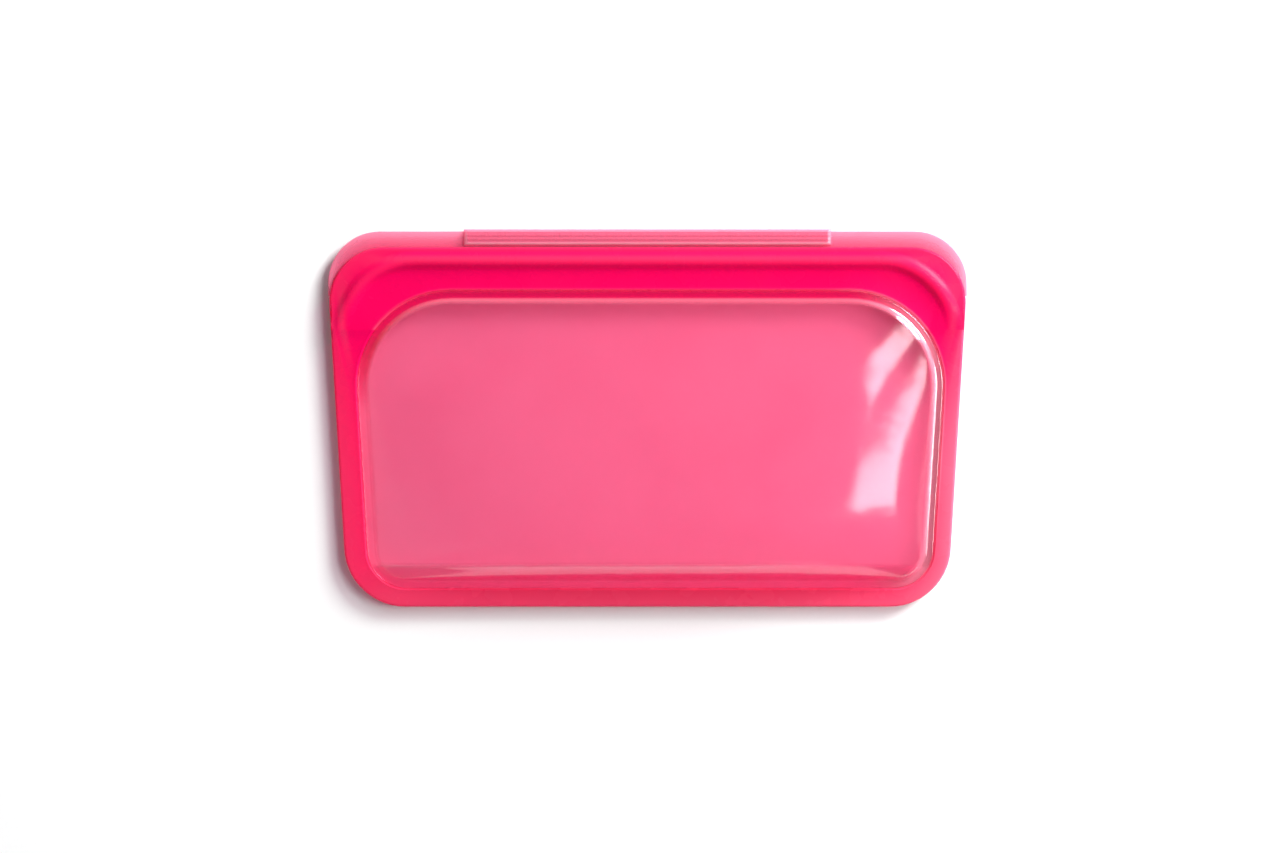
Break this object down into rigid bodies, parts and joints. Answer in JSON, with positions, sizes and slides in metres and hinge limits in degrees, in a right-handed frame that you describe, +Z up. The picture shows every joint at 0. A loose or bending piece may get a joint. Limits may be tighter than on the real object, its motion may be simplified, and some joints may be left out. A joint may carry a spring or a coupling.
{
  "type": "reusable silicone bag",
  "caption": "Flat snack-size silicone bag with a clear puffed film window, a fused border, a thick pinch-seal band and thin ridged lips that bend open.",
  "frame": {"origin": "on the surface the bag lies on, under the middle of its bounding box", "axes": "+X along the mouth, +Y from the pouch to the mouth, +Z up through the thickness, towards the front film"},
  "size_m": [0.1906, 0.1124, 0.0226],
  "materials": {
    "clear_film": "glossy translucent",
    "thick_silicone": "satin translucent",
    "lip_silicone": "satin translucent"
  },
  "bodies": {
    "pouch": {"edge_seam": "thick_silicone", "front_panel": "clear_film", "rear_panel": "clear_film"},
    "front_mouth": {"front_seal_band": "thick_silicone", "front_lip": "lip_silicone", "front_grip": "lip_silicone"},
    "rear_mouth": {"rear_seal_band": "thick_silicone", "seal_rib": "thick_silicone", "rear_lip": "lip_silicone", "rear_grip": "lip_silicone"}
  },
  "joints": [
    {"name": "front_mouth_bend", "type": "hinge", "parent": "pouch", "child": "front_mouth", "pos_m": [0, 0.02625, 0.0039], "axis": [1, 0, 0], "range_deg": [0, 60], "stiffness_Nm_per_rad": 0.03},
    {"name": "rear_mouth_bend", "type": "hinge", "parent": "pouch", "child": "rear_mouth", "pos_m": [0, 0.02625, 0], "axis": [-1, 0, 0], "range_deg": [0, 60], "stiffness_Nm_per_rad": 0.03}
  ]
}
